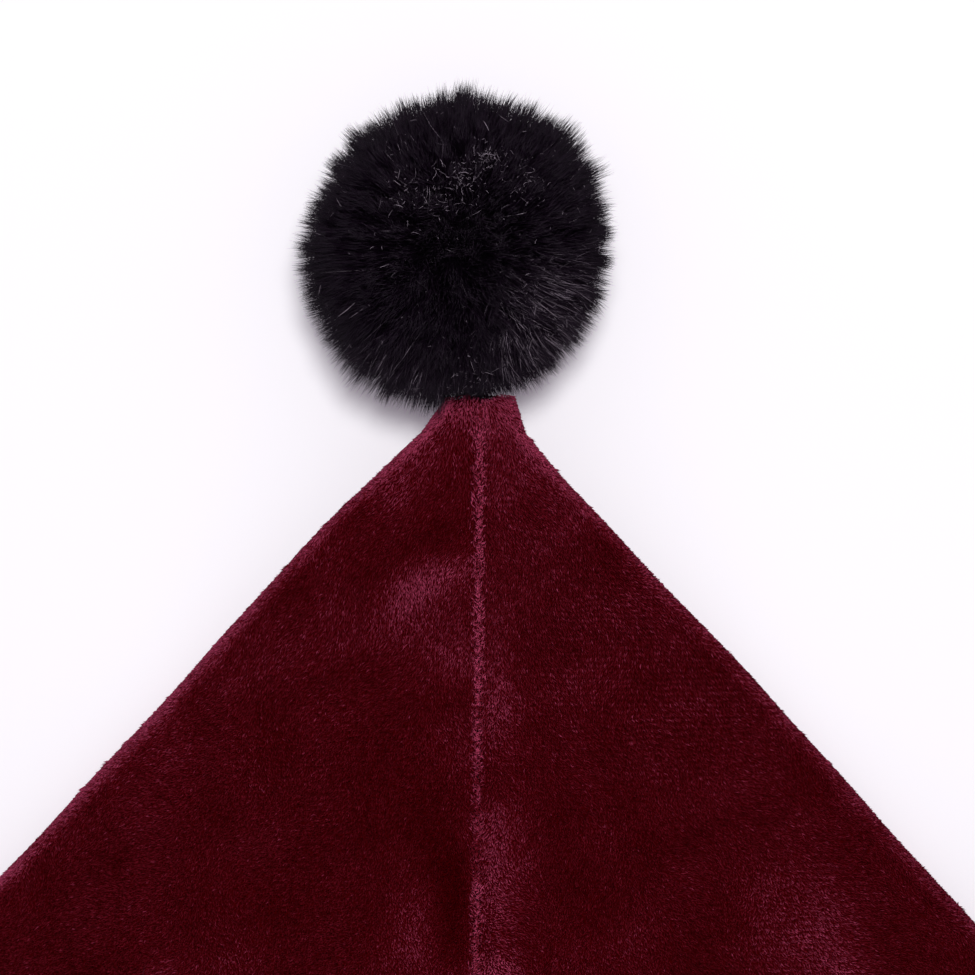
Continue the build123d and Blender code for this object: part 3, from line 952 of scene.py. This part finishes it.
class MakePompom(bpy.types.Operator):
    """Makes the fur ball"""

    bl_idname = "hat.make_pompom"
    bl_label = "Fur pompom"

    def execute(self, context):
        fur = context.scene.hat_fur
        draw = np.random.default_rng(fur.seed)
        middle = BALL_CENTRE + [fur.pompom_right, -fur.pompom_down, 0]
        self.make_skin(fur, middle)
        count = fur.pompom_hairs
        turn = SPREAD_TURN * np.arange(count) + draw.normal(0, 0.03, count)
        level = 1 - 2 * (np.arange(count) + 0.5) / count
        ring = np.sqrt(1 - level**2)
        out = np.stack([ring * np.cos(turn), ring * np.sin(turn), level], -1)
        # The hairs lean towards the middle of their clump, apart from a few loose ones.
        number, centres = clumps(out, share=0.035, seed=fur.seed + 1)
        comb = unit(centres + 0.10 * draw.normal(0, 1, centres.shape))[number]
        stretch = draw.normal(1, 0.022, len(centres))[number]
        uneven = 1 + 0.012 * waves(out[:, 0], out[:, 1] + 1.7 * out[:, 2], 0.9, 17)
        fall = 1 - 0.16 * draw.random(count) ** 2
        loose = draw.random(count) < 0.06
        pull = np.where(loose, 0.0, draw.uniform(0.5, 0.85, count))[:, None]
        aim = unit(out * (1 - pull) + comb * pull + draw.normal(0, 0.03, (count, 3)))
        reach = fur.pompom_reach * stretch * uneven * fall * self.flattened(out)
        root = middle + out * (fur.skin_radius - 0.8 * MM)
        tip = middle + aim * reach[:, None]
        free = (reach - fur.skin_radius)[:, None]
        spine = np.stack([root, root + out * free * 0.34, root + (tip - root) * 0.7 + out * free * 0.04, tip], 1)
        # Where the ball lies on the table, no hair goes lower than this.
        lowest = draw.uniform(0.3, 5.2, count) * MM
        for step in (1, 2, 3):
            self.press(spine[:, step], lowest)
        radius = fur.hair_radius * np.array([[1.0, 0.95, 0.7]]) * draw.uniform(0.75, 1.25, count)[:, None]
        # Most hairs are dark, with shades up to a half; the few with a painted glint are lighter, and those low on the
        # sides get painted light.
        painted_glint = draw.random(count) < self.painted_glint_share(out)
        plain = np.clip(draw.exponential(0.16, count), 0, 0.5) + self.painted_low_light(out) * draw.uniform(0.04, 0.42, count)
        shade = np.where(painted_glint, 0.5 + 0.5 * draw.random(count) ** 2, plain)
        self.make_painted_glint_ends(fur, middle)
        hairs = strands("pompom_hair", spine, radius, shade, fur_material(), "pompom", "fur")
        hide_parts("pompom_stuffing")
        return {"FINISHED"}

    @staticmethod
    def make_painted_glint_ends(fur, middle):
        """Short ends of hair that lie across the others, light in colour: painted glints."""
        draw = np.random.default_rng(fur.seed + 3)
        glints = np.array(POMPOM_PAINTED_GLINTS)
        patch = draw.choice(len(glints), 360, p=glints[:, 5])
        towards, reach = unit(glints[:, :3])[patch], glints[patch, 3:4]
        out = unit(towards + reach * draw.normal(0, 0.7, towards.shape))
        # The rest are scattered over the upper half.
        scattered = draw.normal(0, 1, (150, 3))
        scattered[:, 2] = np.abs(scattered[:, 2]) + 0.2
        out = np.concatenate([out, unit(scattered)])
        count = len(out)
        aside = unit(np.cross(out, draw.normal(0, 1, (count, 3))))
        long = draw.random(count) < 0.16
        length_of = np.where(long, draw.uniform(1.4, 2.8, count), draw.uniform(0.3, 1.1, count))[:, None] * MM
        root = middle + out * (fur.pompom_reach - draw.uniform(2.0, 4.5, count)[:, None] * MM)
        curl = np.cross(out, aside) * draw.normal(0, 0.3, count)[:, None]
        steps = [root + length_of * part * (0.5 * out + aside + curl * part * 2) for part in (0.0, 0.35, 0.7, 1.0)]
        spine = np.stack(steps, 1)
        radius = 0.05 * MM * np.array([[1.0, 1.0, 0.8]]) * draw.uniform(0.7, 1.3, count)[:, None]
        strands("pompom_painted_glint_hair", spine, radius, 0.6 + 0.4 * draw.random(count), fur_material(), "pompom", "fur")

    @staticmethod
    def painted_glint_share(out):
        """Share of the hairs given a painted glint, by the way that they grow out of the ball."""
        share = np.full(len(out), 0.004)
        for *way, reach, most, _ in POMPOM_PAINTED_GLINTS:
            towards = unit(np.array(way))
            share += most * np.exp(-((1 - out @ towards) * 2) / reach**2)
        return share

    @staticmethod
    def flattened(out):
        """The ball isn't quite round: where its sides have been lain on, they are flatter."""
        turn = np.degrees(np.arctan2(out[:, 1], out[:, 0]))
        level = 1 - np.abs(out[:, 2])
        fullness = np.interp(turn, *zip(*POMPOM_FULLNESS), period=360)
        return 1 + fullness * np.clip(level * 1.6, 0, 1)

    @staticmethod
    def painted_low_light(out):
        """How much lighter the hairs are painted low on the right, where the fur is parted, and low on the left:
        painted light where the thin hairs catch the light.
        """
        right = np.clip((out @ unit(np.array([0.60, -0.60, 0.55])) - 0.78) / 0.14, 0, 1)
        left = np.clip((out @ unit(np.array([-0.42, -0.88, 0.15])) - 0.84) / 0.14, 0, 1)
        return right * np.clip((out[:, 0] - 0.24) / 0.10, 0, 1) + 0.55 * left

    @staticmethod
    def press(points, lowest):
        """Hairs under the ball lie down on the table, and those at the tie part round the crown's tip."""
        tip_half = crown_settings().tip_half_width + 1.0 * MM
        soft = 9.0 * MM  # the height below which the hairs give way
        room, sunk = soft - lowest, np.clip(soft - points[:, 2], 0, None)
        settled = np.where(sunk > 0, lowest + room * np.exp(-sunk / room), points[:, 2])
        aside = points[:, :2] - BALL_CENTRE[:2]
        points[:, :2] += 0.35 * (settled - points[:, 2])[:, None] * aside / (20 * MM)
        points[:, 2] = settled
        nearest = TIP_Y + np.where(points[:, 2] < NECK[2] + 7 * MM, -0.9, 0.1) * MM
        inside = (np.abs(points[:, 0]) < tip_half) & (points[:, 1] < nearest) & (points[:, 2] > 20 * MM)
        points[inside, 1] = nearest[inside]

    @staticmethod
    def make_skin(fur, middle):
        rows, columns = 49, 96
        height = np.linspace(0, math.pi, rows)[:, None]
        turn = np.linspace(0, 2 * math.pi, columns, endpoint=False)[None, :]
        ways = np.broadcast_arrays(np.sin(height) * np.cos(turn), np.sin(height) * np.sin(turn), np.cos(height))
        out = np.stack(ways, -1)
        lump = 1 + 0.02 * waves(out[..., 0], out[..., 1] + out[..., 2], 0.8, 4)[..., None]
        body = (middle + out * fur.skin_radius * lump)[1:-1].reshape(-1, 3)
        poles = middle + np.array([[0, 0, 1], [0, 0, -1]]) * fur.skin_radius
        faces = capped_faces(rows - 2, columns, flip=True)
        skin = mesh_object("pompom_skin", np.concatenate([body, poles]), faces, fur_backing())
        dress(skin, "pompom", "pompom_fur_cover")


def cuff_profile(run):
    """Place on the fur's skin for run from 0, at the cuff's upper edge, over the mouth to its inner edge at 1,
    as (distance from the tip, height over the crown's face, turn of the hairs from the face's normal)."""
    inside = bpy.context.scene.hat_inside
    hem = TIP_Y - hem_low[1] + 0.5 * MM
    outer_face, inner_face = 1.6 * MM, -(inside.lining_inset + inside.lining_cloth + 1.6 * MM)
    middle, bend = (outer_face + inner_face) / 2, (outer_face - inner_face) / 2
    outside, fold, within = CROWN_END - CUFF_START, math.pi * bend, CROWN_END - hem
    place = run * (outside + fold + within)
    angle = np.clip((place - outside) / bend, 0, math.pi)
    turned = np.where(angle < math.pi, CROWN_END + bend * np.sin(angle), CROWN_END - (place - outside - fold))
    distance = np.where(place < outside, CUFF_START + place, turned)
    edge = np.clip(place / (2.5 * MM), 0.25, 1) ** 0.5
    return distance, np.where(place < outside, outer_face * edge, middle + bend * np.cos(angle)), angle


def cuff_surface(run, around):
    """Points and hair directions on the cuff's skin; around goes once round the hat from the front seam."""
    distance, height, angle = cuff_profile(run)
    share = 2 * np.minimum(around, 1 - around)
    side = np.where(around < 0.5, 1.0, -1.0)
    reach = np.minimum(distance, CROWN_END)
    normal = crown_normal(reach, share, side)
    point = crown_point(reach, share, side) + normal * height[..., None]
    point[..., 1] -= distance - reach
    grow = normal * np.cos(angle)[..., None] + np.array([0, -1.0, 0]) * np.sin(angle)[..., None]
    return point, grow


class MakeCuff(bpy.types.Operator):
    """Makes the fur band round the mouth"""

    bl_idname = "hat.make_cuff"
    bl_label = "Fur cuff"

    def execute(self, context):
        fur = context.scene.hat_fur
        draw = np.random.default_rng(fur.seed + 5)
        run = np.linspace(0, 1, 60)[:, None]
        around = np.linspace(0, 1, 260, endpoint=False)[None, :]
        point, grow = cuff_surface(*np.broadcast_arrays(run, around))
        rows, columns = point.shape[:2]
        backing = point - grow * 1.1 * MM
        loop = np.concatenate([point, backing[::-1]])
        faces = grid_faces(2 * rows, columns, close_rows=True, close_columns=True)
        skin = mesh_object("cuff_skin", loop.reshape(-1, 3), faces, fur_backing())
        dress(skin, "hat", "fur_cuff")
        count = fur.cuff_hairs
        run, around = draw.uniform(0, 1, count), draw.uniform(0, 1, count)
        root, grow = cuff_surface(run, around)
        angle = cuff_profile(run)[2]
        full = (fur.cuff_hair, fur.cuff_hair * 0.62, fur.cuff_hem_hair)
        # Long hairs outside, shorter ones over the mouth's edge and the shortest within it.
        height = np.interp(angle, (0, math.pi * 0.35, math.pi), full) * draw.uniform(0.8, 1.05, count)
        guard = draw.random(count) < 0.1
        height[guard] *= draw.uniform(1.05, 1.2, guard.sum())
        ruffle = np.stack([waves(around * 0.6, run * 0.1, 0.02, number) for number in (71, 72, 73)], -1)
        nap = np.array([0, -0.3, 0]) + 0.25 * ruffle
        comb = unit(grow + draw.normal(0, 0.17, (count, 3)) + nap)
        tip = root + comb * height[:, None]
        number, centres = clumps(tip, share=0.022, seed=fur.seed + 6)
        pull = (draw.uniform(0.3, 0.7, count) * np.clip(height / (8 * MM), 0, 1) * ~guard)[:, None]
        tip += pull * (centres[number] - tip)
        middle = root + (tip - root) * 0.5 + grow * height[:, None] * 0.13
        spine = np.stack([root - grow * 0.5 * MM, middle, tip], 1)
        # Hairs that would reach below the table lie just over it.
        low = 0.3 * MM + 0.05 * np.abs(spine[..., 2])
        spine[..., 2] = np.where(spine[..., 2] < 0.4 * MM, low, spine[..., 2])
        radius = 0.115 * MM * np.array([[1.0, 0.85]]) * draw.uniform(0.75, 1.25, count)[:, None]
        # A few hairs get a painted glint.
        painted_glint = draw.random(count) < 0.008
        shade = np.where(painted_glint, draw.uniform(0.55, 1.0, count), np.clip(draw.exponential(0.16, count), 0, 0.5))
        strands("cuff_hair", spine, radius, shade, fur_material(), "hat", "fur")
        return {"FINISHED"}


def tube(path, radius, sides=8):
    """Points and faces of a closed, round tube along an open path; radius may differ along it."""
    along = unit(np.gradient(path, axis=0))
    across = np.empty_like(path)
    across[0] = unit(np.cross(along[0], [0.31, 0.17, 0.94]))
    for step in range(1, len(path)):
        across[step] = unit(across[step - 1] - along[step] * (across[step - 1] @ along[step]))
    thick = np.broadcast_to(radius, (len(path),))[:, None, None]
    rings = path[:, None] + thick * spokes_round(along, across, sides)
    points = np.concatenate([rings.reshape(-1, 3), path[:1], path[-1:]])
    return points, capped_faces(len(path), sides)


def joined(parts):
    """One mesh's points and faces out of several."""
    points, faces, offset = [], [], 0
    for part_points, part_faces in parts:
        points.append(part_points)
        faces.append(part_faces + offset)
        offset += len(part_points)
    return np.concatenate(points), np.concatenate(faces)


def knot_path(middle, radius, turns, tilt, seed):
    """Thread wound round a small ball, each turn a little off the last."""
    draw = np.random.default_rng(seed)
    run = np.linspace(0, 1, 34 * turns)
    angle, drift = 2 * math.pi * turns * run, 2.6 * math.pi * run + draw.uniform(0, 6)
    flat = np.stack([np.cos(angle), np.sin(angle) * math.cos(tilt), np.sin(angle) * math.sin(tilt)], -1)
    x = flat[:, 0] * np.cos(drift) - flat[:, 1] * np.sin(drift)
    y = flat[:, 0] * np.sin(drift) + flat[:, 1] * np.cos(drift)
    swell = radius * (1 + 0.08 * np.sin(5 * angle / 7 + seed))
    return middle + np.stack([x, flat[:, 2], y], -1) * swell[:, None]


def plies(first, last, spread, ply, twist):
    """Three strands twisted round the line between two points."""
    count = 40
    run = np.linspace(0, 1, count)[:, None]
    line = first + (last - first) * run
    along = unit(last - first)
    across = unit(np.cross(along, [0.2, 0.1, 1.0]))
    beyond = np.cross(along, across)
    angle = 2 * math.pi * (np.linalg.norm(last - first) / twist) * run
    taper = np.clip(np.minimum(run, 1 - run)[:, 0] * 14, 0.35, 1)
    made = []
    for third in range(3):
        turn = angle + third * 2 * math.pi / 3
        made.append(tube(line + spread * (across * np.cos(turn) + beyond * np.sin(turn)), ply * taper, 10))
    return made


class MakeTie(bpy.types.Operator):
    """Makes the twisted cord and the wound knots that tie the pompom to the tip"""

    bl_idname = "hat.make_tie"
    bl_label = "Pompom tie"

    def execute(self, context):
        anchor_low, anchor_high = box("anchor_knot")
        cord_low, cord_high = box("pompom_cord")
        ball = (anchor_high[0] - anchor_low[0]) / 2
        anchor = np.array([0, anchor_low[1] + ball, (anchor_low[2] + anchor_high[2]) / 2])
        tip_hole = np.array([0, anchor_high[1], NECK[2]])
        neck_ball = (neck_high[2] - neck_low[2]) / 2
        ply = (cord_high[2] - cord_low[2]) / 2 * 0.46
        twisted = (ply * 1.1, ply, 3.2 * MM)
        stem = plies(anchor, tip_hole - [0, 0.6 * MM, 0], *twisted)
        windings = [tube(knot_path(anchor, ball - 0.5 * MM, 7, 1.1, 3), 0.42 * MM)]
        self.add("tie_anchor_knot", joined(windings + stem), "hat", "anchor_knot")
        back = unit(NECK - tip_hole) * 0.5 * MM
        cord = self.add("tie_cord", joined(plies(tip_hole - back, NECK - back, *twisted)), None, "pompom_cord")
        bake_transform(cord)
        windings = [tube(knot_path(NECK, neck_ball - 0.42 * MM, 8, 1.2, 5), 0.4 * MM)]
        windings.append(self.core(NECK, neck_ball - 0.6 * MM))
        self.add("tie_neck_knot", joined(windings), "neck", "neck_knot")
        self.add("tie_gather_windings", self.gather(), "pompom", "pompom_gather_thread")
        return {"FINISHED"}

    @staticmethod
    def add(name, shape, body, stands_for):
        return dress(mesh_object(name, *shape, black_thread()), body, stands_for)

    @staticmethod
    def core(middle, radius):
        """The inside of a knot, so that no light shows between its windings."""
        line = np.linspace(-1, 1, 17)[:, None] * [0, radius, 0]
        round_it = np.sqrt(np.clip(1 - np.linspace(-1, 1, 17) ** 2, 0.003, 1)) * radius
        return tube(middle + line, round_it, 12)

    @staticmethod
    def gather():
        """Turns of thread drawn tight round the fur ball's neck, and their loose end inside it."""
        low, high = box("pompom_gather_thread")
        thick = 0.4 * MM
        along = unit(BALL_CENTRE - NECK)
        across = unit(np.cross(along, [0, 0, 1.0]))
        beyond = np.cross(along, across)
        ring = (high[2] - low[2]) / 2 - thick
        first = NECK + along * ((neck_high[2] - neck_low[2]) / 2 + 0.9 * MM)
        run = np.linspace(0, 3.2, 140)[:, None]
        angle = 2 * math.pi * run
        turns = first + along * (0.62 * MM * (run - 1.0)) + ring * (across * np.cos(angle) + beyond * np.sin(angle))
        end = np.linspace(0, 1, 30)[1:, None]
        inwards = first + along * (high[1] - first[1]) * 0.9 - turns[-1]
        into = turns[-1] + inwards * end + across * 0.8 * MM * np.sin(end * 7)
        return tube(np.concatenate([turns, into]), thick)


# ---------------------------------------------------------------- stage


def seen_rays(tree):
    """The node and output that give 1 for the rays that show the background: the camera's and those that a
    surface reflects or lets through."""
    path = add_node(tree, "LightPath")
    seen = (path, "Is Camera Ray")
    for name in ("Is Glossy Ray", "Is Transmission Ray"):
        either = add_node(tree, "Math", use_clamp=True)
        wire(tree, [(*seen, either, 0), (path, name, either, 1)])
        seen = (either, 0)
    return seen


class MakeStage(bpy.types.Operator):
    """Makes the floor, the light and the camera"""

    bl_idname = "hat.make_stage"
    bl_label = "Stage"

    def execute(self, context):
        stage = context.scene.hat_stage
        self.make_floor(stage)
        self.make_light(context.scene, stage)
        self.make_camera(context.scene, stage)
        context.scene.view_settings.view_transform = "Standard"
        return {"FINISHED"}

    @staticmethod
    def make_floor(stage):
        finish = {"Base Color": (*stage.floor, 1), "Roughness": 0.9, "Specular IOR Level": 0.1, "Emission Strength": 1}
        material, tree, shader = new_material("white_floor", finish)
        place = add_node(tree, "TexCoord")
        away = add_node(tree, "VectorMath", operation="LENGTH")
        ease = add_node(tree, "MapRange", {"From Min": 0.3, "From Max": 1.7}, interpolation_type="SMOOTHSTEP")
        even = add_node(tree, "Mix", {"A": (*stage.glow, 1), "B": (*stage.far_glow, 1)}, data_type="RGBA")
        glow = add_node(tree, "Mix", {"A": (0, 0, 0, 1)}, data_type="RGBA")
        links = [
            (place, "Object", away, 0),
            (away, "Value", ease, "Value"),
            (ease, "Result", even, "Factor"),
            (even, "Result", glow, "B"),
            (*seen_rays(tree), glow, "Factor"),
            (glow, "Result", shader, "Emission Color"),
        ]
        wire(tree, links)
        reach = 12.0  # metres from the hat to the floor's edges
        corners = np.array([[-reach, -reach, 0], [reach, -reach, 0], [reach, reach, 0], [-reach, reach, 0]])
        mesh_object("floor", corners, np.array([[0, 1, 2, 3]]), material)

    @staticmethod
    def make_light(scene, stage):
        world = bpy.data.worlds.new("even_light")
        scene.world = world
        world.use_nodes = True
        tree = world.node_tree
        light = tree.nodes["Background"]
        fill(light, {"Strength": stage.sky, "Color": (0.97, 0.96, 1.0, 1)})
        seen = add_node(tree, "Background", {"Color": (0.99, 0.98, 1.0, 1)})
        mix = add_node(tree, "MixShader")
        wire(tree, [(*seen_rays(tree), mix, 0), (light, 0, mix, 1), (seen, 0, mix, 2)])
        wire(tree, [(mix, 0, tree.nodes["World Output"], "Surface")])
        lamp = bpy.data.lights.new("soft_lamp", "AREA")
        lamp.shape = "DISK"
        lamp.size = stage.lamp_size
        lamp.energy = stage.key
        out = math.cos(stage.lamp_elevation)
        way = [out * math.sin(stage.lamp_turn), out * math.cos(stage.lamp_turn), math.sin(stage.lamp_elevation)]
        holder = bpy.data.objects.new("soft_lamp", lamp)
        holder.location = np.array([0, TIP_Y, 0]) + stage.lamp_distance * np.array(way)
        holder.rotation_euler = Vector(way).to_track_quat("Z", "Y").to_euler()
        scene.collection.objects.link(holder)

    @staticmethod
    def make_camera(scene, stage):
        camera = bpy.data.cameras.new("camera")
        camera.sensor_width = 36
        camera.lens = 36 * stage.camera_height / stage.view_width
        camera.clip_end = 20
        holder = bpy.data.objects.new("camera", camera)
        holder.location = (stage.camera_x, TIP_Y - stage.camera_below, stage.camera_height)
        holder.rotation_euler = (0, 0, stage.roll)
        scene.collection.objects.link(holder)
        scene.camera = holder


# ---------------------------------------------------------------- panel and registration


MAKERS = (MakeCrown, MakeLining, MakeThreads, MakeLabel, MakeCuff, MakeTie, MakePompom, MakeStage)
SETTINGS = {
    "hat_crown": CrownSettings,
    "hat_fur": FurSettings,
    "hat_inside": InsideSettings,
    "hat_stage": StageSettings,
}


class HatPanel(bpy.types.Panel):
    """Lists the hat's pieces and their sizes"""

    bl_idname = "VIEW3D_PT_party_hat"
    bl_label = "Party hat"
    bl_space_type = "VIEW_3D"
    bl_region_type = "UI"
    bl_category = "Party hat"

    def draw(self, context):
        for maker in MAKERS:
            self.layout.operator(maker.bl_idname)
        for name, kind in SETTINGS.items():
            box = self.layout.box()
            for key in kind.__annotations__:
                box.prop(getattr(context.scene, name), key)


def register():
    for kind in (*SETTINGS.values(), *MAKERS, HatPanel):
        bpy.utils.register_class(kind)
    for name, kind in SETTINGS.items():
        setattr(bpy.types.Scene, name, PointerProperty(type=kind))


def unregister():
    for name in SETTINGS:
        delattr(bpy.types.Scene, name)
    for kind in reversed((*SETTINGS.values(), *MAKERS, HatPanel)):
        bpy.utils.unregister_class(kind)


def main():
    register()
    for maker in MAKERS:
        group, name = maker.bl_idname.split(".")
        getattr(getattr(bpy.ops, group), name)()
    bpy.context.view_layer.update()


if __name__ == "__main__":
    main()
